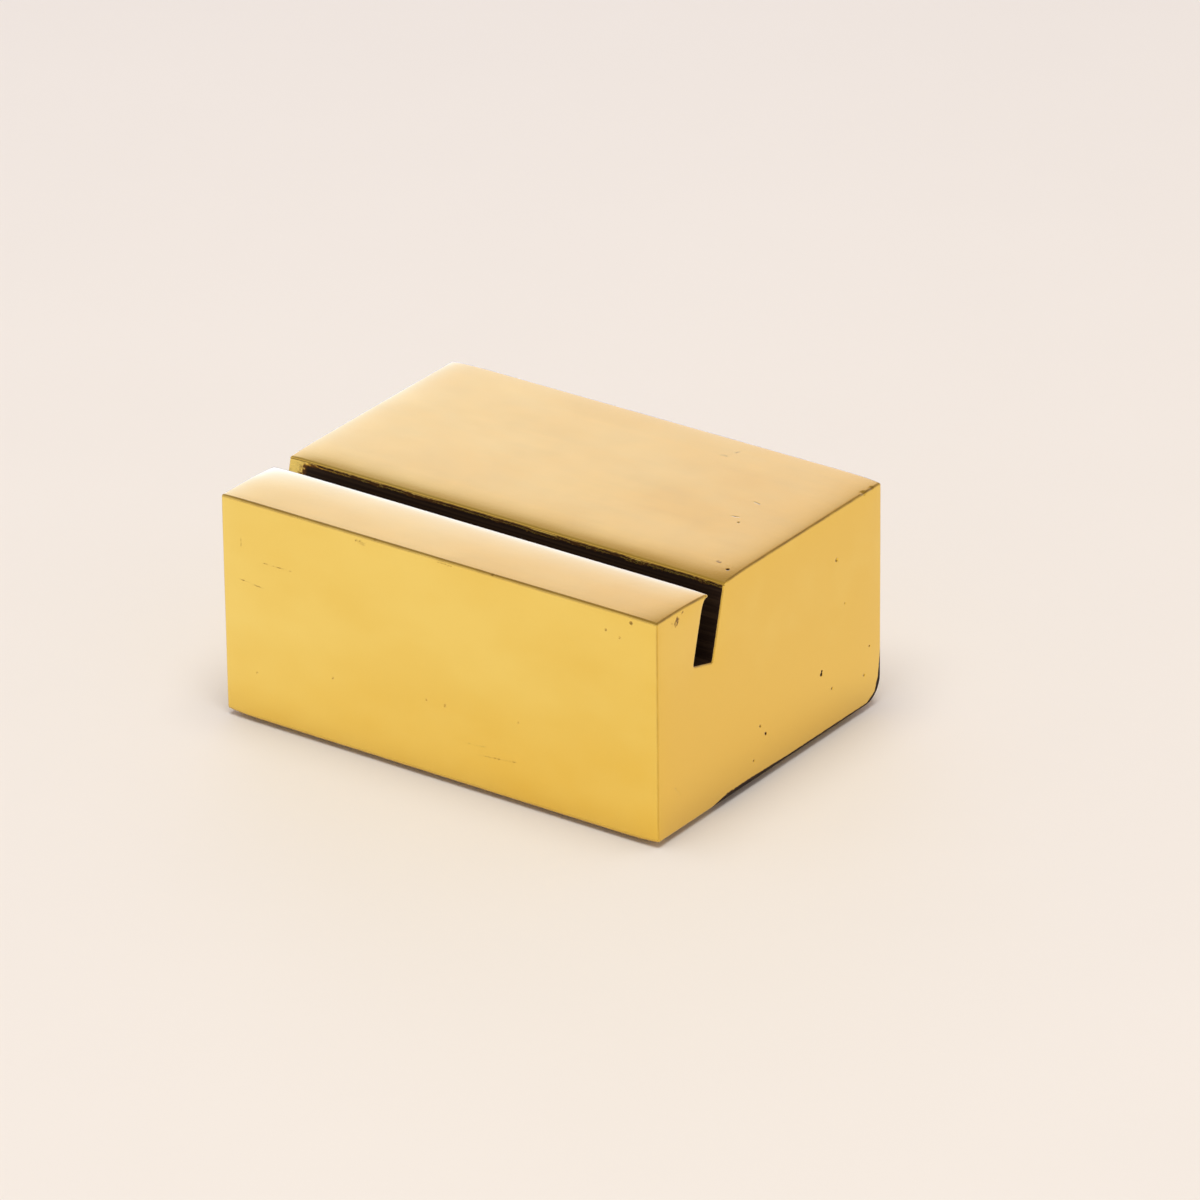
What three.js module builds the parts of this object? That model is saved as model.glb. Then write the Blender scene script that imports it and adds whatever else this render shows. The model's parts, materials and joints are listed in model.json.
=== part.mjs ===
// A menu holder: a solid brass block with one leaning slot that takes the lower edge of a card. It stands
// on a felt sheet, bonded under it with adhesive film. Millimetres, +Z up, the table is at Z = 0. X runs
// along the slot, and the front face looks towards -Y.

import * as THREE from 'three';

// Brass block
const blockWidth = 66;
const blockDepth = 49;
const blockHeight = 30;
const longEdgeRadius = 0.3; // the edges that run along X
const endEdgeRadius = 0.2; // the edges round the two end faces, limited by the edges that they run into
const endEdgeLimit = 0.9; // share of the tightest of those edges
const rearFootRadius = 3.2; // the lower rear edge, rolled under

// Card slot, cut from end to end and leaning back at the top
const slotSetback = 10.1; // front face to the slot's front lip, on the top face
const slotWidth = 4.1; // square to its walls
const slotDepth = 9.8; // along its middle, from the top face
const slotLean = THREE.MathUtils.degToRad(14.5);
const slotLipRadius = 0.35;
const slotFloorRadius = 0.3;

// Felt sheet and the film that bonds it
const feltThickness = 0.5;
const feltInset = 1.5; // from the rim of the block's flat underside
const feltCornerRadius = 2;
const filmThickness = 0.1;
const filmInset = 0.5; // from the felt's edge

// Facets
const arcSegments = 6;
const edgeSegments = 4;

const tightestEdge = Math.min(longEdgeRadius, slotLipRadius, rearFootRadius);
const endEdge = Math.min(endEdgeRadius, endEdgeLimit * tightestEdge);

const brass = new THREE.MeshStandardMaterial({ color: 0xd9ad57, roughness: 0.2, metalness: 1 });
const film = new THREE.MeshStandardMaterial({ color: 0xcfc9b8, roughness: 0.4, metalness: 0 });
const felt = new THREE.MeshStandardMaterial({ color: 0x2a2320, roughness: 1, metalness: 0 });

// A closed outline through its corners, anticlockwise, each corner rounded by its own radius.
function roundedOutline(corners) {
  const outline = new THREE.Shape();
  corners.forEach(({ point, radius }, i) => {
    const before = corners[(i + corners.length - 1) % corners.length].point;
    const after = corners[(i + 1) % corners.length].point;
    const arriving = point.clone().sub(before).normalize();
    const leaving = after.clone().sub(point).normalize();
    const turn = Math.atan2(arriving.cross(leaving), arriving.dot(leaving));
    const side = Math.sign(turn);
    const tangent = radius * Math.tan(Math.abs(turn) / 2);
    const start = point.clone().addScaledVector(arriving, -tangent);
    const inward = new THREE.Vector2(-arriving.y, arriving.x).multiplyScalar(side * radius);
    const centre = start.clone().add(inward);
    const startAngle = start.clone().sub(centre).angle();
    outline.absarc(centre.x, centre.y, radius, startAngle, startAngle + turn, side < 0);
  });
  outline.closePath();
  return outline;
}

// The slot's four corners, from its rear lip down, across the floor and up to its front lip.
function slotCorners() {
  const up = new THREE.Vector2(Math.sin(slotLean), Math.cos(slotLean));
  const across = new THREE.Vector2(up.y, -up.x);
  const mouthWidth = slotWidth / Math.cos(slotLean);
  const frontLip = new THREE.Vector2(-blockDepth / 2 + slotSetback, blockHeight);
  const rearLip = new THREE.Vector2(frontLip.x + mouthWidth, blockHeight);
  const floorMiddle = frontLip.clone().lerp(rearLip, 0.5).addScaledVector(up, -slotDepth);
  const rearFloor = floorMiddle.clone().addScaledVector(across, slotWidth / 2);
  const frontFloor = floorMiddle.clone().addScaledVector(across, -slotWidth / 2);
  return [
    { point: rearLip, radius: slotLipRadius },
    { point: rearFloor, radius: slotFloorRadius },
    { point: frontFloor, radius: slotFloorRadius },
    { point: frontLip, radius: slotLipRadius },
  ];
}

// The block is its end outline, with the slot, run along X, and its end edges are rounded inwards.
function makeBlock() {
  const front = -blockDepth / 2;
  const rear = blockDepth / 2;
  const outline = roundedOutline([
    { point: new THREE.Vector2(front, 0), radius: longEdgeRadius },
    { point: new THREE.Vector2(rear, 0), radius: rearFootRadius },
    { point: new THREE.Vector2(rear, blockHeight), radius: longEdgeRadius },
    ...slotCorners(),
    { point: new THREE.Vector2(front, blockHeight), radius: longEdgeRadius },
  ]);
  const length = blockWidth - 2 * endEdge;
  const geometry = new THREE.ExtrudeGeometry(outline, {
    depth: length,
    curveSegments: arcSegments,
    bevelThickness: endEdge,
    bevelSize: endEdge,
    bevelOffset: -endEdge,
    bevelSegments: edgeSegments,
  });
  geometry.translate(0, 0, -length / 2);
  geometry.rotateX(Math.PI / 2).rotateZ(Math.PI / 2);
  const mesh = new THREE.Mesh(geometry, brass);
  mesh.name = 'brass_block';
  mesh.position.z = feltThickness + filmThickness;
  return mesh;
}

// A flat sheet under the block with rounded corners, set in from the rim of the block's flat underside.
function makeSheet(name, material, inset, thickness, bottom) {
  const side = blockWidth / 2 - endEdge - inset;
  const front = -blockDepth / 2 + longEdgeRadius + inset;
  const rear = blockDepth / 2 - rearFootRadius - inset;
  const corners = [[-side, front], [side, front], [side, rear], [-side, rear]];
  const outline = roundedOutline(corners.map(([x, y]) => (
    { point: new THREE.Vector2(x, y), radius: feltCornerRadius })));
  const geometry = new THREE.ExtrudeGeometry(outline, {
    depth: thickness,
    curveSegments: arcSegments,
    bevelEnabled: false,
  });
  const mesh = new THREE.Mesh(geometry, material);
  mesh.name = name;
  mesh.position.z = bottom;
  return mesh;
}

const menuHolder = new THREE.Group();
menuHolder.add(
  makeBlock(),
  makeSheet('adhesive_film', film, feltInset + filmInset, filmThickness, feltThickness),
  makeSheet('felt_pad', felt, feltInset, feltThickness, 0),
);

export default menuHolder;
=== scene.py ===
import json
import math
import random
from dataclasses import dataclass

import bmesh
import bpy
from mathutils import Matrix, Quaternion, Vector, kdtree, noise
from mathutils.geometry import delaunay_2d_cdt, intersect_point_line


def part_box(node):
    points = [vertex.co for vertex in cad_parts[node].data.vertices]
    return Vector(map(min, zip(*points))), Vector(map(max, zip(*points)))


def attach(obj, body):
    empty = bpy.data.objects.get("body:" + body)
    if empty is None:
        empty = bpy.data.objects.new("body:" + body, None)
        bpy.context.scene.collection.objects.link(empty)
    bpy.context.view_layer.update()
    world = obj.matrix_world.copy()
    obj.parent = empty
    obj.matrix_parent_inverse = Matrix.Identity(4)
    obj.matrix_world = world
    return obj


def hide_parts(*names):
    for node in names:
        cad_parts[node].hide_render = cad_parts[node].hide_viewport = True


# The looks of a brass menu holder, in metres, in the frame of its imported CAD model. X runs along the card
# slot, the front face looks towards -Y, and the table is at Z = 0.

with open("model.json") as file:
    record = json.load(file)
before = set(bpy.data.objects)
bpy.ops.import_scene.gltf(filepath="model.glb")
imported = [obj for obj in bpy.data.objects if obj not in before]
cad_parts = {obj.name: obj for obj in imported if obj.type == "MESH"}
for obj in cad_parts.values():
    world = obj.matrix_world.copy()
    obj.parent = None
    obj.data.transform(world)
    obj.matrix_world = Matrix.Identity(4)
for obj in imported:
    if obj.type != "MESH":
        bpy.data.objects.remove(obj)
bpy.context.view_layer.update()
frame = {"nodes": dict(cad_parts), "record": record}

MM = 0.001
SEED = 7

# The camera stands where the photograph was taken from
CAMERA_AZIMUTH = math.radians(35.87)
CAMERA_ELEVATION = math.radians(25.74)
CAMERA_ROLL = math.radians(-0.64)
CAMERA_DISTANCE = 1089 * MM
FRAME_PIXELS = 1200
FOCAL_PIXELS = 8737
BLOCK_CENTRE_PIXEL = (552.8, 595.5)
SENSOR_WIDTH = 36.0  # in millimetres, as Blender's cameras have it

# The block and its slot
BLOCK_LOW, BLOCK_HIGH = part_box("brass_block")
LONG_EDGE_RADIUS = 0.3 * MM
FOOT_RADIUS = 3.2 * MM
SLOT_WIDTH = 4.1 * MM
FRONT_LIP_RADIUS = 0.25 * MM
REAR_LIP_RADIUS = 0.35 * MM
SLOT_FLOOR_RADIUS = 0.25 * MM
SHARP_EDGE = 1.0 * MM  # the largest radius that wears like an edge

# The edges round the end faces, tight at the slot's lips and growing with the distance from them
END_EDGE_RADIUS = 0.22 * MM
TOP_END_RADIUS = 0.28 * MM
LIP_END_RADIUS = 0.05 * MM
LIP_END_GROWTH = 0.3
LIP_RIM_GROWTH = 0.15  # of the narrow rim inside the edge

# How far buffing has rolled each face down towards its edges, and over what distance
NO_ROLL = (0.0, 1.0 * MM)
EDGE_ROLL = (0.04 * MM, 1.2 * MM)
LIP_ROLL = (0.28 * MM, 1.9 * MM)  # of the top, towards the slot's rear lip
WEDGE_ROLL = (0.38 * MM, 1.8 * MM)  # of the wedge before the slot, towards the front lip
END_ROLL = (0.08 * MM, 1.8 * MM)  # of the end faces, all round
RUN_OUT_ROLL = (0.18 * MM, 1.7 * MM)  # of the long faces, towards the ends

# How far buffing has drawn the front lip out over the slot, and how far down the wall and along the top
LIP_DRAW = (1.0 * MM, 0.5 * MM, 3.0 * MM)

# Waves that hand buffing has left in the faces, and lines that the saw has left in the slot
WAVE_LENGTH = 9 * MM
WAVE_HEIGHT = 0.014 * MM
SAW_STEP = 0.18 * MM
SAW_DEPTH = 0.03 * MM

# Oxide in the slot, and the stretches over which it sets in
WALL_MARGIN = 0.25 * MM  # how far off the walls a point may be and still belong to them
CLEAN_LIP = (0.2 * MM, 0.36 * MM)  # below the lips
CLEAN_END = (0.8 * MM, 3.6 * MM)  # from the left end, and below the lips near it
CLEAN_RIM = 0.2 * MM  # at both ends
LIP_WANDER = (0.14 * MM, 2.6 * MM)  # how far its upper limit rises and falls, and over what length
RUBBED_LINE = (0.54 * MM, 0.09 * MM)  # a saw line that cards have rubbed bright: its depth and half width
RUBBED_SHARE = 0.8

# Wear along the edges, and painted dark reflection in the rounded edges, most along the top edges of the
# ends
EDGE_WEAR_AND_SHADE = 0.5  # of the wear along the top edges of the ends
WEAR_AND_SHADE_FADE = (0.5 * MM, 1.5 * MM)  # the distances from the slot's lips between which it sets in

# Marks in the brass
PIT_DEPTH = 0.6  # of its radius
SCRATCH_RADIUS = 0.11 * MM
SCRATCH_DEPTH = 0.025 * MM
SCRATCH_STAIN = 0.42
NICK_RADIUS = 0.35 * MM
NICK_DEPTH = 0.08 * MM
NICK_STAIN = 0.3
STAIN_RIM = 0.5  # the outer share of a mark's area, over which its stain fades

# Pits on each face that the photograph doesn't show, with the ranges they are drawn from in millimetres
PITS_PER_HIDDEN_FACE = 7
HIDDEN_PIT_X = (-30, 30)
HIDDEN_PIT_Y = (18, 45)
HIDDEN_PIT_Z = (4, 27)
HIDDEN_PIT_RADIUS = (0.12, 0.25)

# Painted shade on the right end: a dark line along its lower edge and up round its foot, a painted contact
# shadow. Distance from the front face, height and half width, in millimetres
PAINTED_SHADE_LINE = (
    (10.8, 0.0, 0.2), (15.0, 0.0, 1.0), (20.0, 0.0, 1.0), (28.0, 0.1, 0.6), (45.8, 0.1, 0.5),
    (47.9, 1.0, 0.7), (48.8, 3.2, 0.75), (48.9, 5.5, 0.5), (49.0, 8.0, 0.25),
)

# Felt
FELT_LOW, FELT_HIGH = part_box("felt_pad")
FELT_CORNER_RADIUS = 2 * MM
FELT_EDGE_RADIUS = 0.25 * MM
FELT_EDGE_STEPS = 6
FELT_FRAY = (0.08 * MM, 0.6 * MM)  # how deep the cut edge is frayed, and over what length

# Loose hairs round the felt's edge
FIBRE_COUNT = 900
FIBRE_LENGTH = (0.3 * MM, 1.1 * MM)
FIBRE_RADIUS = 0.014 * MM
FIBRE_ROOT = (0.25, 0.75)  # of the felt's height
FIBRE_TILT = (-0.3, 0.3)  # up and down, for each step outwards
FIBRE_SPREAD = (-0.9, 0.9)  # to the sides, for each step outwards
FIBRE_BEND = (-1, 1)  # the sideways part of a curl
FIBRE_DROOP = (-0.5, 0.2)  # the upward part of a curl
FIBRE_CURL = 0.4  # of its length
FIBRE_TAPER = 0.8  # of its radius
FIBRE_STEPS = 5
FIBRE_SIDES = 3

# Mesh spacing
FACE_STEP = 1.0 * MM
EDGE_STEP = 0.15 * MM
STEP_GROWTH = 1.5
ARC_STEP = 0.09 * MM
FEWEST_ARC_STEPS = 5
END_RINGS = 5
MARK_MARGINS = (0.7 * MM, 0.1 * MM)  # how far round a mark the first and the second splitting reach
MARK_STEP = 0.1 * MM  # edges round a mark that are longer than this are split
MARK_CUTS = 3

# Filling a ring with triangles: only the inside is kept, and points closer than this are one
INSIDE_RING = 1
SAME_POINT = 1e-9

# Metal colours
BRASS = (0.99, 0.752, 0.172)
# Darker, warmer brass: a cloudy tone, and the painted shade towards the right end and the foot
WARM_BRASS_AND_SHADE = (0.875, 0.56, 0.05)
# Darker brass for worn edges and for the painted dark reflection in the rounded edges
WORN_SHADED_BRASS = (0.42, 0.24, 0.035)
# Tarnish and oxide, which also paint the shade along the right end's lower edge
TARNISH_AND_SHADE = (0.20, 0.09, 0.022)
OXIDE_AND_SHADE = (0.019, 0.0095, 0.0055)
SLOT_OXIDE_AND_SHADE = (0.042, 0.024, 0.0125)

# Felt, film and floor colours
DARK_FELT = (0.012, 0.009, 0.008)
PALE_FELT = (0.06, 0.045, 0.037)
DARK_FILM = (0.68, 0.62, 0.48)
PALE_FILM = (0.80, 0.76, 0.66)
DARK_FLOOR = (0.80, 0.775, 0.735)
PALE_FLOOR = (0.82, 0.795, 0.755)

# Finishes
USUAL_NOISE = (0.3, 0.7)  # where most values of a noise texture lie
FACING_RANGE = (0.6, 0.9)  # the part of a normal along an axis, from facing past it to facing along it
WORN_ROUGHNESS = 0.5
STAIN_ROUGHNESS = 0.6

# The room: the floor's half width, and the light, in radiance, by the sine of its elevation
FLOOR_HALF_WIDTH = 3.0
ROOM_LIGHT = (
    (0.00, (0.72, 0.72, 0.82)),
    (0.27, (0.75, 0.73, 0.82)),
    (0.43, (0.71, 0.56, 0.44)),
    (0.62, (0.45, 0.38, 0.36)),
    (0.80, (0.30, 0.26, 0.23)),
    (1.00, (0.52, 0.47, 0.40)),
)


def record_mount(name):
    mounts = frame["record"]["mounts"]
    return next(mount for mount in mounts if mount["name"] == name)


SLOT_FLOOR = Vector(record_mount("slot_floor")["pos_m"])
SLOT_UP = Vector(record_mount("slot_floor")["axis"]).normalized()
SLOT_ACROSS = Vector((0.0, SLOT_UP.z, -SLOT_UP.y))


def smooth(value, low, high):
    """0 below low, 1 above high and an even S between."""
    share = min(max((value - low) / (high - low), 0.0), 1.0)
    return share * share * (3 - 2 * share)


# Outlines with rounded corners

@dataclass
class Corner:
    """A corner of an outline, and how the faces that reach it and leave it were finished."""
    point: Vector
    radius: float
    roll_before: tuple = NO_ROLL
    roll_after: tuple = NO_ROLL
    sawn_after: bool = False


@dataclass
class Sample:
    """A point of an outline with its outward normal, and how far in it can be offset."""
    point: Vector
    normal: Vector
    room: float = math.inf

    @property
    def on_edge(self):
        """Whether the point lies on a sharp edge that stands out."""
        return self.room < SHARP_EDGE


def graded(length):
    """Distances from 0 to length, close together at both ends."""
    near = [0.0]
    step = EDGE_STEP
    while near[-1] < length / 2:
        near.append(near[-1] + step)
        step = min(step * STEP_GROWTH, FACE_STEP)
    near = [place * length / 2 / near[-1] for place in near]
    return near + [length - place for place in near[-2::-1]]


def sawn(length):
    """Even distances from 0 to length, one for each line that the saw left."""
    count = round(length / SAW_STEP)
    return [length * k / count for k in range(count + 1)]


def rolled(distance, roll):
    """How far buffing has taken a face down at a distance from its edge."""
    depth, reach = roll
    return depth * math.exp(-distance / reach)


def outward(direction):
    """The outward normal of an outline that runs anticlockwise."""
    return Vector((direction.y, -direction.x))


def turn_at(before, corner, after):
    """The outline's directions before and after a corner, its turn, and how far off its rounding starts."""
    arriving = (corner.point - before.point).normalized()
    leaving = (after.point - corner.point).normalized()
    turn = math.atan2(arriving.cross(leaving), arriving.dot(leaving))
    return arriving, leaving, turn, corner.radius * math.tan(abs(turn) / 2)


def corner_samples(before, corner, after):
    """A corner's rounding, which starts and ends along the slopes of the rolled faces."""
    arriving, leaving, turn, setback = turn_at(before, corner, after)
    normal = outward(arriving)
    radius = math.copysign(corner.radius, turn)
    centre = corner.point - arriving * setback - normal * radius
    centre -= normal * corner.roll_before[0] + outward(leaving) * corner.roll_after[0]
    first = math.atan2(*corner.roll_before)
    last = turn - math.atan2(*corner.roll_after)
    steps = max(FEWEST_ARC_STEPS, math.ceil(abs(radius * turn) / ARC_STEP))
    room = corner.radius if turn > 0 else math.inf
    for k in range(steps + 1):
        way = Matrix.Rotation(first + (last - first) * k / steps, 2) @ normal
        yield Sample(centre + way * radius, way, room)


def face_samples(before, corner, after, beyond, saw):
    """The face from one corner to the next, between their roundings."""
    _, leaving, _, start = turn_at(before, corner, after)
    end = turn_at(corner, after, beyond)[3]
    normal = outward(leaving)
    length = (after.point - corner.point).length - start - end
    places = sawn(length) if corner.sawn_after else graded(length)
    for along in places[1:-1]:
        drop = rolled(along, corner.roll_after) + rolled(length - along, after.roll_before)
        if corner.sawn_after:
            drop += saw.uniform(0, SAW_DEPTH)
        yield Sample(corner.point + leaving * (start + along) - normal * drop, normal)


def rounded_outline(corners):
    """A closed ring of samples, anticlockwise."""
    saw = random.Random(SEED)
    ring = []
    for i, corner in enumerate(corners):
        before = corners[i - 1]
        after = corners[(i + 1) % len(corners)]
        beyond = corners[(i + 2) % len(corners)]
        ring += corner_samples(before, corner, after)
        ring += face_samples(before, corner, after, beyond, saw)
    return ring


# Meshes from rings

def new_object(name, bm):
    """An object in the scene, with smooth shading."""
    for face in bm.faces:
        face.smooth = True
    mesh = bpy.data.meshes.new(name)
    bm.to_mesh(mesh)
    bm.free()
    piece = bpy.data.objects.new(name, mesh)
    bpy.context.scene.collection.objects.link(piece)
    return piece


def skin(bm, rings):
    """Joins closed rings of points with faces, and gives back their vertices."""
    made = [[bm.verts.new(place) for place in ring] for ring in rings]
    count = len(made[0])
    for near, far in zip(made, made[1:]):
        for k in range(count):
            m = (k + 1) % count
            bm.faces.new((near[k], far[k], far[m], near[m]))
    return made


def fill(bm, ring, a, b):
    """Fills a flat ring with triangles small enough to shape. a and b are the axes of its plane."""
    boundary = [Vector((vert.co[a], vert.co[b])) for vert in ring]
    edges = [(k, (k + 1) % len(ring)) for k in range(len(ring))]
    low = Vector((min(p.x for p in boundary), min(p.y for p in boundary)))
    high = Vector((max(p.x for p in boundary), max(p.y for p in boundary)))
    columns = round((high.x - low.x) / FACE_STEP)
    rows = round((high.y - low.y) / FACE_STEP)
    grid = [low + Vector((i, j)) * FACE_STEP for i in range(1, columns) for j in range(1, rows)]
    points, _, faces, sources, _, _ = delaunay_2d_cdt(boundary + grid, edges, [], INSIDE_RING, SAME_POINT)
    verts = []
    for point, source in zip(points, sources):
        old = [k for k in source if k < len(ring)]
        if old:
            verts.append(ring[old[0]])
            continue
        place = ring[0].co.copy()
        place[a], place[b] = point
        verts.append(bm.verts.new(place))
    for face in faces:
        bm.faces.new([verts[k] for k in face])
    inner = [vert for vert in dict.fromkeys(verts) if vert not in ring]
    for vert in inner:
        if not vert.link_faces:
            bm.verts.remove(vert)
    return [vert for vert in inner if vert.is_valid]


def near_tree(places):
    tree = kdtree.KDTree(len(places))
    for k, place in enumerate(places):
        tree.insert(place, k)
    tree.balance()
    return tree


# Brass block

def slot_wall_point(side, height):
    """A point on a slot wall, side -1 in front and 1 behind, at a height above the floor along the wall."""
    point = SLOT_FLOOR + SLOT_ACROSS * (side * SLOT_WIDTH / 2) + SLOT_UP * height
    return point.yz


def slot_lip(side):
    """Where a slot wall would meet the top face if the lip weren't rounded."""
    foot = slot_wall_point(side, 0)
    return slot_wall_point(side, (BLOCK_HIGH.z - foot.y) / SLOT_UP.z)


def block_corners():
    """The block's end view, in Y and Z."""
    front, rear = BLOCK_LOW.y, BLOCK_HIGH.y
    bottom, top = BLOCK_LOW.z, BLOCK_HIGH.z
    return [
        Corner(Vector((front, bottom)), LONG_EDGE_RADIUS, EDGE_ROLL),
        Corner(Vector((rear, bottom)), FOOT_RADIUS),
        Corner(Vector((rear, top)), LONG_EDGE_RADIUS, EDGE_ROLL, EDGE_ROLL),
        Corner(slot_lip(1), REAR_LIP_RADIUS, LIP_ROLL, sawn_after=True),
        Corner(slot_wall_point(1, 0), SLOT_FLOOR_RADIUS),
        Corner(slot_wall_point(-1, 0), SLOT_FLOOR_RADIUS, sawn_after=True),
        Corner(slot_lip(-1), FRONT_LIP_RADIUS, roll_after=WEDGE_ROLL),
        Corner(Vector((front, top)), LONG_EDGE_RADIUS, EDGE_ROLL, EDGE_ROLL),
    ]


def drawn_out(point):
    """A point of the outline, moved over the slot if it is near the front lip."""
    overhang, wall_reach, top_reach = LIP_DRAW
    before_lip, below_lip = slot_lip(-1) - point
    if before_lip < -SLOT_WIDTH / 2:
        return point
    below_lip = max(below_lip - WEDGE_ROLL[0], 0.0)
    share = math.exp(-below_lip / wall_reach) * (1 - smooth(before_lip, 0.0, top_reach))
    return point + Vector((overhang * share, 0))


def lip_distance(sample):
    """How far a sample of the drawn-out outline is from the nearer of the slot's lips."""
    lips = (drawn_out(slot_lip(-1)), slot_lip(1))
    return min((sample.point - lip).length for lip in lips)


def end_radius(sample):
    """The rounding of the end face's edge at a sample of the outline."""
    upwards = max(sample.normal.y, 0.0)
    radius = END_EDGE_RADIUS + (TOP_END_RADIUS - END_EDGE_RADIUS) * upwards
    return min(radius, LIP_END_RADIUS + LIP_END_GROWTH * lip_distance(sample))


def ring_stations():
    """(u, angle) of each ring: u runs along X from -1 to 1, and the angle turns round the ends' edges."""
    edge = [(1.0, math.pi / 2 * k / END_RINGS) for k in range(END_RINGS, 0, -1)]
    length = BLOCK_HIGH.x - BLOCK_LOW.x
    middle = [(2 * place / length - 1, 0.0) for place in graded(length)]
    return [(-u, angle) for u, angle in edge] + middle + edge[::-1]


def run_out(point, from_end):
    """A point of the outline where the long faces have been buffed down towards an end."""
    centre = (BLOCK_LOW + BLOCK_HIGH).yz / 2
    half = (BLOCK_HIGH - BLOCK_LOW).yz / 2
    away = point - centre
    return point - Vector((away.x / half.x, away.y / half.y)) * rolled(from_end, RUN_OUT_ROLL)


def ring_places(outline, u, angle):
    """The points of the ring at a station."""
    places = []
    for sample in outline:
        radius = end_radius(sample)
        flat = BLOCK_HIGH.x - END_ROLL[0] - radius
        inset = radius * (1 - math.cos(angle))
        point = run_out(sample.point, (1 - abs(u)) * flat) - sample.normal * inset
        places.append((u * flat + math.copysign(radius * math.sin(angle), u), *point))
    return places


def support_places(outline, side):
    """The ring just inside an end face's rim, which keeps the face's shading flat up to its edge."""
    x = side * (BLOCK_HIGH.x - rolled(EDGE_STEP, END_ROLL))
    places = []
    for sample in outline:
        rim = min(EDGE_STEP, LIP_RIM_GROWTH * lip_distance(sample))
        inset = min(end_radius(sample) + rim, sample.room)
        places.append((x, *(run_out(sample.point, 0.0) - sample.normal * inset)))
    return places


def crown_end(bm, ring, side):
    """Fills an end face and crowns it, as buffing does."""
    inner = fill(bm, ring, 1, 2)
    rim = near_tree([vert.co for vert in ring])
    for vert in inner:
        distance = rim.find(vert.co)[2]
        vert.co.x = side * (BLOCK_HIGH.x - rolled(distance + EDGE_STEP, END_ROLL))


def undulate(bm):
    """The slow waves that hand buffing leaves in the faces."""
    bm.normal_update()
    moves = [vert.normal * WAVE_HEIGHT * noise.noise(vert.co / WAVE_LENGTH) for vert in bm.verts]
    for vert, move in zip(bm.verts, moves):
        vert.co += move


def slot_stain(place):
    """How dark the slot's walls are at a point: clean at the lips and the left end, oxidised inside."""
    from_floor = place - SLOT_FLOOR
    across = from_floor.dot(SLOT_ACROSS)
    if abs(across) > SLOT_WIDTH / 2 + WALL_MARGIN or from_floor.dot(SLOT_UP) < -WALL_MARGIN:
        return 0.0
    from_end = BLOCK_HIGH.x - abs(place.x)
    if from_end < CLEAN_RIM:
        return 0.0
    lip_drop = LIP_ROLL[0] if across > 0 else WEDGE_ROLL[0]
    lip_drop += rolled(from_end, RUN_OUT_ROLL)
    depth = BLOCK_HIGH.z - lip_drop - place.z
    depth += LIP_WANDER[0] * noise.noise(place / LIP_WANDER[1])
    inside = max(smooth(place.x - BLOCK_LOW.x, *CLEAN_END), smooth(depth, *CLEAN_END))
    rubbed = RUBBED_SHARE * math.exp(-((depth - RUBBED_LINE[0]) / RUBBED_LINE[1]) ** 2)
    return smooth(depth, *CLEAN_LIP) * inside * (1 - rubbed)


def edge_wear_and_shade(sample, angle):
    """How worn a ring is at a sample of the outline, with painted dark reflection in the rounded edges,
    most along the top edges of the ends. The angle is the ring's, round the edge of an end.
    """
    wear = EDGE_WEAR_AND_SHADE if sample.on_edge else 0.0
    if angle > 0:
        top_share = max(sample.normal.y, 0.0)
        wear = (EDGE_WEAR_AND_SHADE + (1 - EDGE_WEAR_AND_SHADE) * top_share) * math.sin(2 * angle)
    return wear * smooth(lip_distance(sample), *WEAR_AND_SHADE_FADE)


def build_block():
    """The block from rings along X, with the attributes edge and stain for its material. Stain also carries
    the painted shade along the right end's lower edge, and edge the painted dark reflection in the rounded
    edges.
    """
    outline = rounded_outline(block_corners())
    for sample in outline:
        sample.point = drawn_out(sample.point)
    stations = ring_stations()
    rings = [ring_places(outline, u, angle) for u, angle in stations]
    bm = bmesh.new()
    wear_and_shade_layer = bm.verts.layers.float.new("edge")
    stain_and_shade_layer = bm.verts.layers.float.new("stain_and_shade")
    made = skin(bm, [support_places(outline, -1)] + rings + [support_places(outline, 1)])
    for ring, (_, angle) in zip(made[1:-1], stations):
        for vert, sample in zip(ring, outline):
            vert[wear_and_shade_layer] = edge_wear_and_shade(sample, angle)
    crown_end(bm, made[0], -1)
    crown_end(bm, made[-1], 1)
    bmesh.ops.recalc_face_normals(bm, faces=bm.faces)
    undulate(bm)
    marks = block_marks()
    for margin in MARK_MARGINS:
        refine_near(bm, marks, margin)
    for vert in bm.verts:
        vert[stain_and_shade_layer] = slot_stain(vert.co)
    press_marks(bm, marks, stain_and_shade_layer)
    return new_object("block_casting", bm)


# Pits, scratches, smudges and nicks in the brass, and a line of painted shade, at places on its faces in
# millimetres

@dataclass
class Mark:
    """A groove round the line from start to end, which may be one point, with a radius for each end."""
    start: Vector
    end: Vector
    start_radius: float
    end_radius: float
    depth: float
    stain_and_shade: float

    def measure(self, place):
        """A place's distance from the line, and the mark's radius there."""
        share = 0.0
        if self.start != self.end:
            share = intersect_point_line(place, self.start, self.end)[1]
            share = min(max(share, 0.0), 1.0)
        radius = self.start_radius + (self.end_radius - self.start_radius) * share
        return (place - self.start.lerp(self.end, share)).length, radius

    def found_in(self, tree, margin):
        """(index, share of the radius) of the tree's places within the mark and a margin."""
        widest = max(self.start_radius, self.end_radius)
        reach = (self.end - self.start).length / 2 + widest + margin
        for place, index, _ in tree.find_range((self.start + self.end) / 2, reach):
            distance, radius = self.measure(place)
            if distance < radius + margin:
                yield index, distance / radius


def on_front(x, z):
    return Vector((x * MM, BLOCK_LOW.y, BLOCK_LOW.z + z * MM))


def on_back(x, z):
    return Vector((x * MM, BLOCK_HIGH.y, BLOCK_LOW.z + z * MM))


def on_right(y, z):
    return Vector((BLOCK_HIGH.x, BLOCK_LOW.y + y * MM, BLOCK_LOW.z + z * MM))


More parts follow.
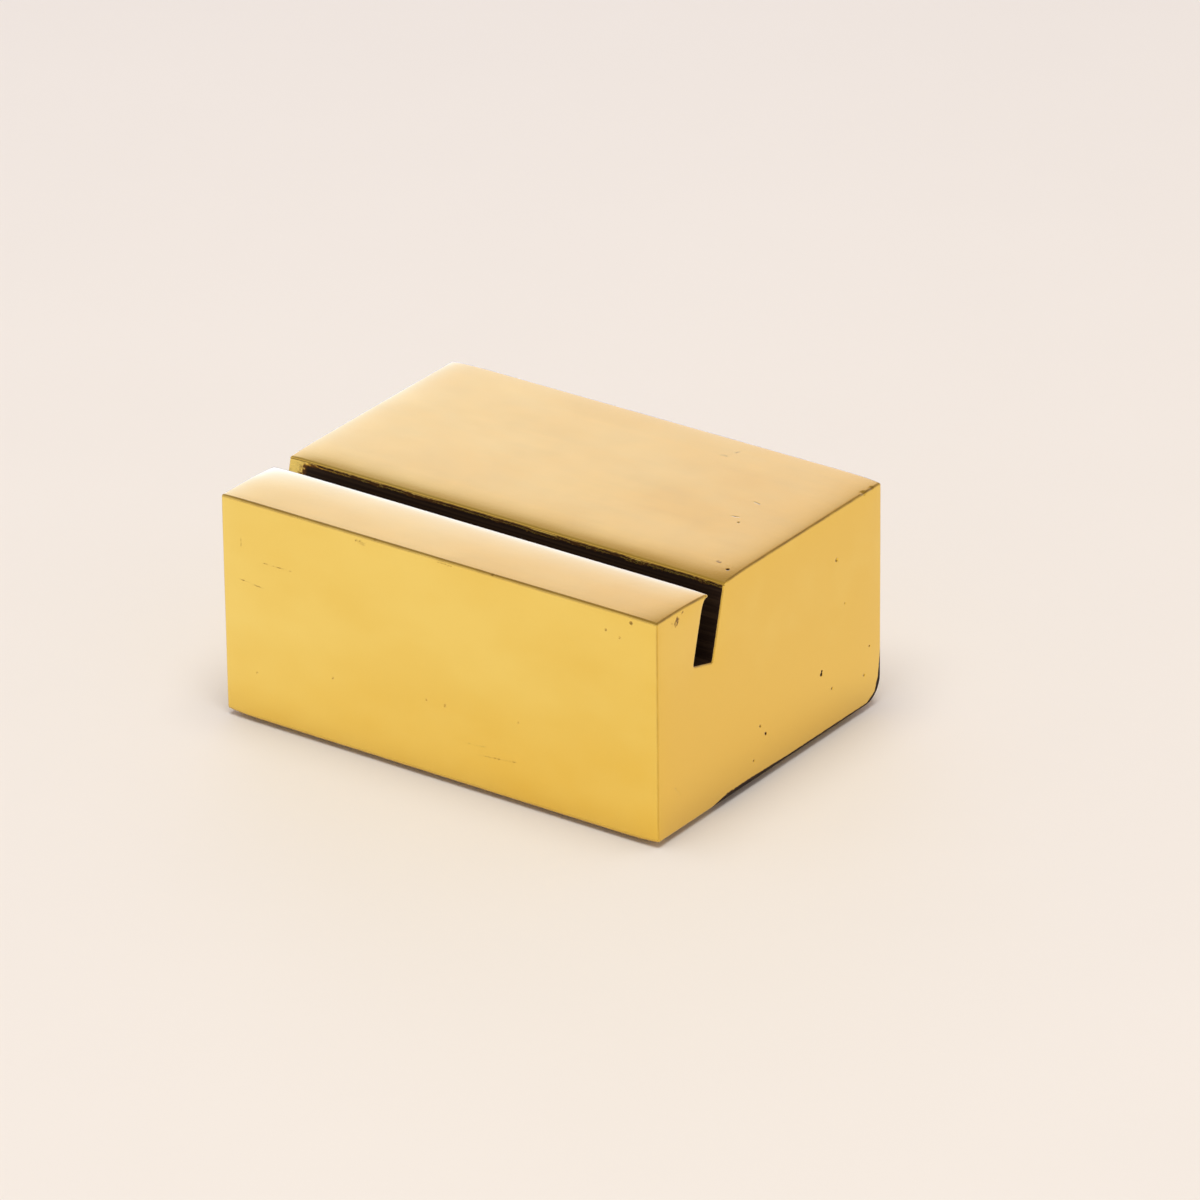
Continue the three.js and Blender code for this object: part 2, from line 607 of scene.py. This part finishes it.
def on_left(y, z):
    return Vector((BLOCK_LOW.x, BLOCK_LOW.y + y * MM, BLOCK_LOW.z + z * MM))


def on_top(x, y):
    return Vector((x * MM, BLOCK_LOW.y + y * MM, BLOCK_HIGH.z))


def on_front_edge(x):
    return Vector((x * MM, BLOCK_LOW.y, BLOCK_HIGH.z))


def on_right_edge(y):
    return Vector((BLOCK_HIGH.x, BLOCK_LOW.y + y * MM, BLOCK_HIGH.z))


def pit(place, radius, stain_and_shade=1.0):
    """A round hollow. Its stain runs from 0, clean, to 1, black."""
    return Mark(place, place, radius * MM, radius * MM, PIT_DEPTH * radius * MM, stain_and_shade)


def smudge_and_shade(start, end, start_radius, end_radius, stain_and_shade):
    """A stain on a face that stays flat. The painted shade along the right end's lower edge is made of
    these too.
    """
    return Mark(start, end, start_radius * MM, end_radius * MM, 0.0, stain_and_shade)


def scratch(start, end, stain_and_shade=SCRATCH_STAIN):
    """A shallow groove."""
    return Mark(start, end, SCRATCH_RADIUS, SCRATCH_RADIUS, SCRATCH_DEPTH, stain_and_shade)


def nick(place, size=1.0):
    """A dent in an edge."""
    return Mark(place, place, size * NICK_RADIUS, size * NICK_RADIUS, size * NICK_DEPTH, NICK_STAIN)


def painted_shade_line():
    """Painted shade: the dark line along the right end's lower edge and up round its foot, a painted
    contact shadow.
    """
    for start, end in zip(PAINTED_SHADE_LINE, PAINTED_SHADE_LINE[1:]):
        yield smudge_and_shade(on_right(*start[:2]), on_right(*end[:2]), start[2], end[2], stain_and_shade=1.0)


def hidden_pits():
    """Pits on the two faces that the photograph doesn't show."""
    draw = random.Random(SEED)
    for _ in range(PITS_PER_HIDDEN_FACE):
        behind = on_back(draw.uniform(*HIDDEN_PIT_X), draw.uniform(*HIDDEN_PIT_Z))
        yield pit(behind, draw.uniform(*HIDDEN_PIT_RADIUS))
        at_left = on_left(draw.uniform(*HIDDEN_PIT_Y), draw.uniform(*HIDDEN_PIT_Z))
        yield pit(at_left, draw.uniform(*HIDDEN_PIT_RADIUS))


def block_marks():
    return [
        # Right end
        pit(on_right(35.4, 8.7), 0.3, 0.9),
        pit(on_right(35.5, 9.1), 0.2),
        pit(on_right(23.2, 5.6), 0.27, 0.75),
        pit(on_right(22.0, 7.1), 0.24, 0.5),
        pit(on_right(37.8, 5.8), 0.22, 0.6),
        pit(on_right(46.2, 8.3), 0.22, 0.55),
        pit(on_right(20.6, 2.9), 0.22, 0.45),
        pit(on_right(45.0, 4.7), 0.25, 0.5),
        pit(on_right(40.6, 16.4), 0.2, 0.5),
        pit(on_right(38.8, 23.1), 0.35, 0.4),
        smudge_and_shade(on_right(4.1, 28.2), on_right(4.6, 28.9), 0.5, 0.4, 0.45),
        smudge_and_shade(on_right(3.3, 28.5), on_right(3.6, 28.7), 0.3, 0.25, 0.35),
        smudge_and_shade(on_right(5.1, 29.2), on_right(5.6, 29.3), 0.25, 0.2, 0.4),
        scratch(on_right(3.8, 6.2), on_right(4.8, 4.9), 0.3),
        # Top
        pit(on_top(31.4, 17.4), 0.34, 0.75),
        smudge_and_shade(on_top(29.2, 18.5), on_top(29.5, 18.5), 0.35, 0.35, 0.4),
        scratch(on_top(23.4, 34.9), on_top(24.3, 34.7)),
        scratch(on_top(23.4, 30.0), on_top(24.3, 30.2), 0.35),
        pit(on_top(25.1, 28.9), 0.22, 0.3),
        smudge_and_shade(on_top(12.2, 43.9), on_top(13.0, 44.1), 0.25, 0.3, 0.3),
        smudge_and_shade(on_top(13.0, 44.3), on_top(13.7, 46.9), 0.15, 0.12, 0.3),
        # Front
        scratch(on_front(-26.4, 22.1), on_front(-22.2, 22.1)),
        scratch(on_front(-30.2, 18.9), on_front(-26.5, 18.6)),
        scratch(on_front(-29.9, 23.5), on_front(-29.9, 24.6)),
        scratch(on_front(6.0, 4.7), on_front(11.8, 5.3), 0.35),
        scratch(on_front(4.0, 5.9), on_front(7.7, 6.1), 0.2),
        pit(on_front(29.2, 29.0), 0.3, 0.32),
        pit(on_front(25.5, 27.1), 0.22, 0.28),
        pit(on_front(27.5, 26.6), 0.22, 0.3),
        pit(on_front(-28.0, 6.6), 0.2, 0.4),
        pit(on_front(-16.1, 9.1), 0.2, 0.4),
        pit(on_front(-1.7, 10.1), 0.2, 0.25),
        pit(on_front(1.1, 10.1), 0.25, 0.3),
        pit(on_front(12.2, 10.9), 0.2, 0.28),
        smudge_and_shade(on_front(-11.8, 29.0), on_front(-10.8, 28.9), 0.4, 0.4, 0.3),
        smudge_and_shade(on_front(0.5, 29.3), on_front(2.6, 29.4), 0.25, 0.15, 0.35),
        # Top edges
        nick(on_front_edge(-29.5)),
        nick(on_front_edge(-9.1)),
        nick(on_front_edge(8.6)),
        nick(on_right_edge(17.6)),
        nick(on_right_edge(45.0), 2.2),
        nick(on_right_edge(46.8), 1.8),
        # Painted shade along the right end's lower edge and round its foot
        *painted_shade_line(),
        *hidden_pits(),
    ]


def refine_near(bm, marks, margin):
    """Splits the faces round each mark so that they can take its shape."""
    bm.faces.ensure_lookup_table()
    tree = near_tree([face.calc_center_median() for face in bm.faces])
    edges = {}
    for mark in marks:
        for index, _ in mark.found_in(tree, margin):
            edges.update(dict.fromkeys(bm.faces[index].edges))
    long_edges = [edge for edge in edges if edge.calc_length() > MARK_STEP]
    bmesh.ops.subdivide_edges(bm, edges=long_edges, cuts=MARK_CUTS, use_grid_fill=True)


def press_marks(bm, marks, stain_and_shade_layer):
    """Presses each mark into the faces and stains it, evenly inside and less towards its rim. The painted
    shade line is stained the same way.
    """
    bm.normal_update()
    bm.verts.ensure_lookup_table()
    tree = near_tree([vert.co for vert in bm.verts])
    normals = [vert.normal.copy() for vert in bm.verts]
    for mark in marks:
        for index, reach in mark.found_in(tree, 0.0):
            vert = bm.verts[index]
            share = 1 - reach ** 2
            vert.co -= normals[index] * mark.depth * share ** 2
            vert[stain_and_shade_layer] = max(vert[stain_and_shade_layer], mark.stain_and_shade * min(1.0, share / STAIN_RIM))


# Felt sheet

def felt_corners():
    low, high = FELT_LOW, FELT_HIGH
    places = ((low.x, low.y), (high.x, low.y), (high.x, high.y), (low.x, high.y))
    return [Corner(Vector(place), FELT_CORNER_RADIUS) for place in places]


def felt_levels():
    """(height, inset) of each ring of the felt's soft edge, from the table up to the film."""
    thickness = FELT_HIGH.z - FELT_LOW.z
    levels = [(FELT_LOW.z, 2 * FELT_EDGE_RADIUS)]
    for k in range(FELT_EDGE_STEPS + 1):
        angle = math.pi * k / FELT_EDGE_STEPS
        inset = FELT_EDGE_RADIUS * (1 - math.sin(angle))
        levels.append((FELT_LOW.z + thickness * (1 - math.cos(angle)) / 2, inset))
    levels.append((FELT_HIGH.z, 2 * FELT_EDGE_RADIUS))
    return levels


def frayed(sample, z, inset):
    """A point of the felt's edge, set in further where the edge is frayed."""
    depth, length = FELT_FRAY
    fray = depth * noise.noise(Vector((*sample.point, z)) / length)
    return (*(sample.point - sample.normal * (inset + abs(fray))), z)


def build_felt(outline):
    """A cut sheet with soft, uneven edges, flat on the table and on the film."""
    bm = bmesh.new()
    made = skin(bm, [[frayed(sample, z, inset) for sample in outline] for z, inset in felt_levels()])
    fill(bm, made[0], 0, 1)
    fill(bm, made[-1], 0, 1)
    bmesh.ops.recalc_face_normals(bm, faces=bm.faces)
    return new_object("felt_sheet", bm)


def build_fibres(outline):
    """Loose hairs round the felt's cut edge, each a thin tapered tube."""
    draw = random.Random(SEED)
    bm = bmesh.new()
    for _ in range(FIBRE_COUNT):
        sample = draw.choice(outline)
        height = draw.uniform(*FIBRE_ROOT) * FELT_HIGH.z
        root = Vector((*(sample.point - sample.normal * FELT_EDGE_RADIUS), height))
        way = Vector((*sample.normal, draw.uniform(*FIBRE_TILT)))
        way += Vector((draw.uniform(*FIBRE_SPREAD), draw.uniform(*FIBRE_SPREAD), 0))
        curl = Vector((draw.uniform(*FIBRE_BEND), draw.uniform(*FIBRE_BEND), draw.uniform(*FIBRE_DROOP)))
        add_fibre(bm, root, way.normalized() * draw.uniform(*FIBRE_LENGTH), curl)
    return new_object("felt_fibres", bm)


def add_fibre(bm, root, way, curl):
    """One hair, which leaves its root along way and curls, within the felt's thickness."""
    side = way.orthogonal().normalized()
    other = way.cross(side).normalized()
    angles = [2 * math.pi * k / FIBRE_SIDES for k in range(FIBRE_SIDES)]
    rings = []
    for k in range(FIBRE_STEPS + 1):
        share = k / FIBRE_STEPS
        middle = root + way * share + curl * (way.length * FIBRE_CURL * share ** 2)
        middle.z = min(max(middle.z, 2 * FIBRE_RADIUS), FELT_HIGH.z - 2 * FIBRE_RADIUS)
        radius = FIBRE_RADIUS * (1 - FIBRE_TAPER * share)
        rings.append([middle + (side * math.cos(a) + other * math.sin(a)) * radius for a in angles])
    made = skin(bm, rings)
    bm.faces.new(made[0])
    bm.faces.new(made[-1][::-1])


# Materials

class Surface:
    """A procedural material, with short names for the nodes that the finishes share."""

    def __init__(self, name):
        self.material = bpy.data.materials.new(name)
        self.material.use_nodes = True
        self.tree = self.material.node_tree
        self.shader = self.tree.nodes["Principled BSDF"]
        self.place = self.add("TexCoord").outputs["Object"]

    def add(self, kind):
        return self.tree.nodes.new("ShaderNode" + kind)

    def feed(self, socket, value):
        """Links an output to a socket, or sets the socket to a plain value."""
        if isinstance(value, bpy.types.NodeSocket):
            self.tree.links.new(value, socket)
        elif isinstance(value, tuple) and len(value) == 3 and socket.type == "RGBA":
            socket.default_value = (*value, 1)
        else:
            socket.default_value = value

    def finish(self, values):
        for name, value in values.items():
            self.feed(self.shader.inputs[name], value)
        return self.material

    def noise(self, size, detail, turn=(0, 0, 0)):
        """Cloudy noise from 0 to 1, with spots of about that size in millimetres along X, Y and Z."""
        mapping = self.add("Mapping")
        mapping.inputs["Scale"].default_value = [1 / (length * MM) for length in size]
        mapping.inputs["Rotation"].default_value = turn
        texture = self.add("TexNoise")
        texture.inputs["Scale"].default_value = 1.0
        texture.inputs["Detail"].default_value = detail
        self.feed(mapping.inputs["Vector"], self.place)
        self.feed(texture.inputs["Vector"], mapping.outputs["Vector"])
        return texture.outputs[0]

    def attribute(self, name):
        node = self.add("Attribute")
        node.attribute_name = name
        return node.outputs["Fac"]

    def facing(self, axis):
        """1 where the surface faces along an axis, either way, and 0 across it."""
        split = self.add("SeparateXYZ")
        self.feed(split.inputs[0], self.add("NewGeometry").outputs["Normal"])
        return self.spread(self.math("ABSOLUTE", split.outputs[axis]), FACING_RANGE)

    def along(self, axis, ends):
        """A value that runs evenly from one side of the block to the other along an axis."""
        split = self.add("SeparateXYZ")
        self.feed(split.inputs[0], self.place)
        low = getattr(BLOCK_LOW, axis.lower())
        high = getattr(BLOCK_HIGH, axis.lower())
        return self.spread(split.outputs[axis], (low, high), ends)

    def math(self, operation, first, second=0.0):
        node = self.add("Math")
        node.operation = operation
        self.feed(node.inputs[0], first)
        self.feed(node.inputs[1], second)
        return node.outputs[0]

    def spread(self, value, source, target=(0.0, 1.0)):
        """Carries the range source over to the range target, with flat ends."""
        node = self.add("MapRange")
        node.inputs["From Min"].default_value, node.inputs["From Max"].default_value = source
        node.inputs["To Min"].default_value, node.inputs["To Max"].default_value = target
        self.feed(node.inputs["Value"], value)
        return node.outputs[0]

    def mix(self, share, first, second):
        node = self.add("Mix")
        node.data_type = "RGBA"
        colour_inputs = [socket for socket in node.inputs if socket.type == "RGBA"]
        self.feed(node.inputs["Factor"], share)
        self.feed(colour_inputs[0], first)
        self.feed(colour_inputs[1], second)
        return next(socket for socket in node.outputs if socket.type == "RGBA")

    def mix_value(self, share, first, second):
        node = self.add("Mix")
        self.feed(node.inputs["Factor"], share)
        self.feed(node.inputs["A"], first)
        self.feed(node.inputs["B"], second)
        return node.outputs[0]

    def bump(self, height, rise, below=None):
        """A normal from a height of 0 to 1, which stands for a rise in millimetres."""
        node = self.add("Bump")
        node.inputs["Distance"].default_value = rise * MM
        self.feed(node.inputs["Height"], height)
        if below:
            self.feed(node.inputs["Normal"], below)
        return node.outputs["Normal"]


def worn_and_shaded_edges(brass):
    """How worn the edges are, with painted dark reflection in the rounded edges, more in some places than
    in others.
    """
    patches = brass.noise(size=(2.5, 2.5, 2.5), detail=3.0)
    strength = brass.spread(patches, source=(0.35, 0.65), target=(0.55, 1.0))
    return brass.math("MULTIPLY", brass.attribute("edge"), strength)


def rough_stains_and_shade(brass, lines, grit):
    """How stained the slot and the marks are, and how dark the painted shade along the right end's lower
    edge, broken up along lines and by grit.
    """
    stain_and_shade = brass.attribute("stain_and_shade")
    by_lines = brass.spread(lines, USUAL_NOISE, target=(-0.25, 0.25))
    by_grit = brass.spread(grit, USUAL_NOISE, target=(-0.4, 0.3))
    broken = brass.math("ADD", brass.math("ADD", stain_and_shade, by_lines), by_grit)
    return brass.math("MULTIPLY", stain_and_shade, brass.spread(broken, source=(0.15, 0.6)))


def cloudy_brass_with_painted_shade(brass):
    """The colour of clean brass: cloudy, with painted shade that makes it darker and warmer towards the
    right end and the foot.
    """
    clouds = brass.noise(size=(16, 9, 9), detail=3.0, turn=(0.3, 0.4, 0.2))
    cloudiness = brass.spread(clouds, source=(0.36, 0.64), target=(0.07, 0.33))
    # Painted shade: darker and warmer towards the right end, less on the front and back faces, and towards
    # the foot
    to_right = brass.along("X", ends=(0.02, 0.8))
    less_in_front = brass.spread(brass.facing("Y"), source=(0.0, 1.0), target=(1.0, 0.35))
    to_foot = brass.math("MAXIMUM", brass.along("Z", ends=(0.45, -0.55)), 0.0)
    painted_warm_shade = brass.math("ADD", brass.math("MULTIPLY", to_right, less_in_front), to_foot)
    return brass.mix(brass.math("ADD", cloudiness, painted_warm_shade), BRASS, WARM_BRASS_AND_SHADE)


def brass_material():
    """Lacquered brass: buffing lines, a hazy gloss, worn edges, and oxide in the slot and the pits, with
    painted shade along the right end's lower edge, towards the foot and towards the right end, and painted
    dark reflection in the rounded edges.
    """
    brass = Surface("polished_brass")
    lines_along = brass.noise(size=(45, 0.35, 0.35), detail=4.0)
    lines_across = brass.noise(size=(0.35, 45, 0.35), detail=4.0)
    lines = brass.mix_value(brass.facing("X"), lines_along, lines_across)
    grit = brass.noise(size=(0.5, 0.5, 0.5), detail=5.0)
    haze = brass.noise(size=(5, 5, 5), detail=4.0)
    edge = worn_and_shaded_edges(brass)
    stain_and_shade = rough_stains_and_shade(brass, lines_along, grit)

    # Tarnish and oxide, and the painted shade along the right end's lower edge
    tarnished_and_shaded = brass.spread(stain_and_shade, source=(0.0, 0.5))
    oxidised_and_shaded = brass.spread(stain_and_shade, source=(0.4, 0.9))
    streaked = brass.spread(lines_along, source=(0.45, 0.7))
    # Worn edges, also painted dark as the reflection in the rounded edges
    colour = brass.mix(edge, cloudy_brass_with_painted_shade(brass), WORN_SHADED_BRASS)
    colour = brass.mix(tarnished_and_shaded, colour, TARNISH_AND_SHADE)
    colour = brass.mix(oxidised_and_shaded, colour, brass.mix(streaked, OXIDE_AND_SHADE, SLOT_OXIDE_AND_SHADE))

    hazy = brass.spread(haze, USUAL_NOISE, target=(0.16, 0.22))
    lined = brass.spread(lines, USUAL_NOISE, target=(-0.02, 0.03))
    roughness = brass.mix_value(edge, brass.math("ADD", hazy, lined), WORN_ROUGHNESS)
    roughness = brass.mix_value(stain_and_shade, roughness, STAIN_ROUGHNESS)
    return brass.finish({
        "Base Color": colour,
        "Metallic": brass.spread(stain_and_shade, source=(0.4, 1.0), target=(1.0, 0.3)),
        "Roughness": roughness,
        "Coat Weight": brass.spread(stain_and_shade, source=(0.0, 0.6), target=(1.0, 0.0)),
        "Coat Roughness": 0.2,
        "Specular IOR Level": 0.2,
        "Normal": brass.bump(grit, rise=0.0006, below=brass.bump(lines, rise=0.0008)),
    })


def felt_material():
    """Dense felt in tufts, with paler hairs that lie two ways."""
    felt = Surface("dark_felt")
    tufts = felt.noise(size=(0.5, 0.5, 0.5), detail=6.0)
    hairs = felt.noise(size=(0.6, 0.06, 0.1), detail=4.0, turn=(0.2, 0.1, 0.7))
    cross_hairs = felt.noise(size=(0.06, 0.6, 0.1), detail=4.0, turn=(0.1, 0.2, 0.3))
    nap = felt.math("MAXIMUM", hairs, cross_hairs)
    paleness = felt.spread(nap, source=(0.4, 0.75))
    return felt.finish({
        "Base Color": felt.mix(paleness, DARK_FELT, PALE_FELT),
        "Roughness": felt.spread(tufts, USUAL_NOISE, target=(0.85, 1.0)),
        "Sheen Weight": 0.4,
        "Normal": felt.bump(nap, rise=0.12, below=felt.bump(tufts, rise=0.15)),
    })


def film_material():
    """Adhesive film, streaked along X."""
    film = Surface("adhesive_film")
    streaks = film.noise(size=(6, 0.8, 0.8), detail=3.0)
    paleness = film.spread(streaks, source=(0.35, 0.65))
    return film.finish({
        "Base Color": film.mix(paleness, DARK_FILM, PALE_FILM),
        "Roughness": film.spread(streaks, USUAL_NOISE, target=(0.3, 0.5)),
        "Normal": film.bump(streaks, rise=0.01),
    })


def floor_material():
    """A pale matt floor, faintly mottled."""
    floor = Surface("pale_floor")
    mottle = floor.noise(size=(40, 40, 40), detail=5.0)
    grain = floor.noise(size=(1.5, 1.5, 1.5), detail=4.0)
    return floor.finish({
        "Base Color": floor.mix(mottle, DARK_FLOOR, PALE_FLOOR),
        "Roughness": 0.8,
        "Normal": floor.bump(grain, rise=0.02),
    })


# Camera, floor and light

def place_camera():
    """Aims the camera so that the middle of the block comes out at its pixel in the photograph."""
    camera = bpy.data.objects.new("camera", bpy.data.cameras.new("camera"))
    bpy.context.scene.collection.objects.link(camera)
    camera.data.sensor_width = SENSOR_WIDTH
    camera.data.lens = SENSOR_WIDTH * FOCAL_PIXELS / FRAME_PIXELS
    back = Vector((
        math.sin(CAMERA_AZIMUTH) * math.cos(CAMERA_ELEVATION),
        -math.cos(CAMERA_AZIMUTH) * math.cos(CAMERA_ELEVATION),
        math.sin(CAMERA_ELEVATION),
    ))
    centre = (BLOCK_LOW + BLOCK_HIGH) / 2
    camera.location = centre + back * CAMERA_DISTANCE
    roll = Quaternion((0, 0, 1), CAMERA_ROLL)
    level = (-back).to_track_quat("-Z", "Y") @ roll
    per_pixel = CAMERA_DISTANCE / FOCAL_PIXELS
    middle = FRAME_PIXELS / 2
    right = level @ Vector((1, 0, 0)) * (middle - BLOCK_CENTRE_PIXEL[0]) * per_pixel
    down = level @ Vector((0, -1, 0)) * (middle - BLOCK_CENTRE_PIXEL[1]) * per_pixel
    forward = centre + right + down - camera.location
    camera.rotation_mode = "QUATERNION"
    camera.rotation_quaternion = forward.to_track_quat("-Z", "Y") @ roll
    bpy.context.scene.camera = camera


def floor_stage():
    bm = bmesh.new()
    bmesh.ops.create_grid(bm, x_segments=1, y_segments=1, size=FLOOR_HALF_WIDTH)
    floor = new_object("floor", bm)
    floor.data.materials.append(floor_material())


def soft_light(name, place, size, radiance, colour):
    """A rectangular lamp that looks at the block's foot."""
    lamp = bpy.data.lights.new(name, "AREA")
    lamp.shape = "RECTANGLE"
    lamp.size, lamp.size_y = size
    lamp.energy = radiance * math.pi * size[0] * size[1]
    lamp.color = colour
    light = bpy.data.objects.new(name, lamp)
    light.location = place
    light.rotation_mode = "QUATERNION"
    light.rotation_quaternion = (-light.location).to_track_quat("-Z", "Y")
    light.visible_camera = False
    bpy.context.scene.collection.objects.link(light)
    return light


def studio_world():
    """A pale room: bright round the horizon, darker overhead."""
    world = bpy.data.worlds.new("studio")
    bpy.context.scene.world = world
    world.use_nodes = True
    nodes, links = world.node_tree.nodes, world.node_tree.links
    direction = nodes.new("ShaderNodeTexCoord")
    split = nodes.new("ShaderNodeSeparateXYZ")
    ramp = nodes.new("ShaderNodeValToRGB")
    links.new(direction.outputs["Generated"], split.inputs["Vector"])
    links.new(split.outputs["Z"], ramp.inputs["Fac"])
    links.new(ramp.outputs["Color"], nodes["Background"].inputs["Color"])
    elements = ramp.color_ramp.elements
    for height, _ in ROOM_LIGHT[1:-1]:
        elements.new(height)
    for element, (_, colour) in zip(elements, ROOM_LIGHT):
        element.color = (*colour, 1)


def studio_lights():
    """Two tinted windows on the far left, and an overhead lamp that the polished faces don't mirror."""
    soft_light(
        "left_window", place=(-0.80, 0.86, 0.34), size=(0.70, 0.75),
        radiance=0.40, colour=(0.75, 0.90, 1.9),
    )
    soft_light(
        "window_sill", place=(-0.68, 0.98, 0.22), size=(1.0, 0.30),
        radiance=0.50, colour=(0.2, 0.70, 2.2),
    )
    overhead = soft_light(
        "overhead", place=(0.09, -0.18, 1.24), size=(0.8, 0.8),
        radiance=5.8, colour=(1.0, 0.97, 0.92),
    )
    overhead.visible_glossy = False


# The scene and its pieces

place_camera()
floor_stage()
studio_world()
studio_lights()
bpy.context.scene.view_settings.view_transform = "Standard"

block = build_block()
block.data.materials.append(brass_material())
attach(block, "root")
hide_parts("brass_block")

felt_outline = rounded_outline(felt_corners())
felt = build_felt(felt_outline)
fibres = build_fibres(felt_outline)
felt_cloth = felt_material()
for piece in (felt, fibres):
    piece.data.materials.append(felt_cloth)
    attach(piece, "root")
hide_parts("felt_pad")

film_sheet = frame["nodes"]["adhesive_film"].data
film_sheet.materials.clear()
film_sheet.materials.append(film_material())
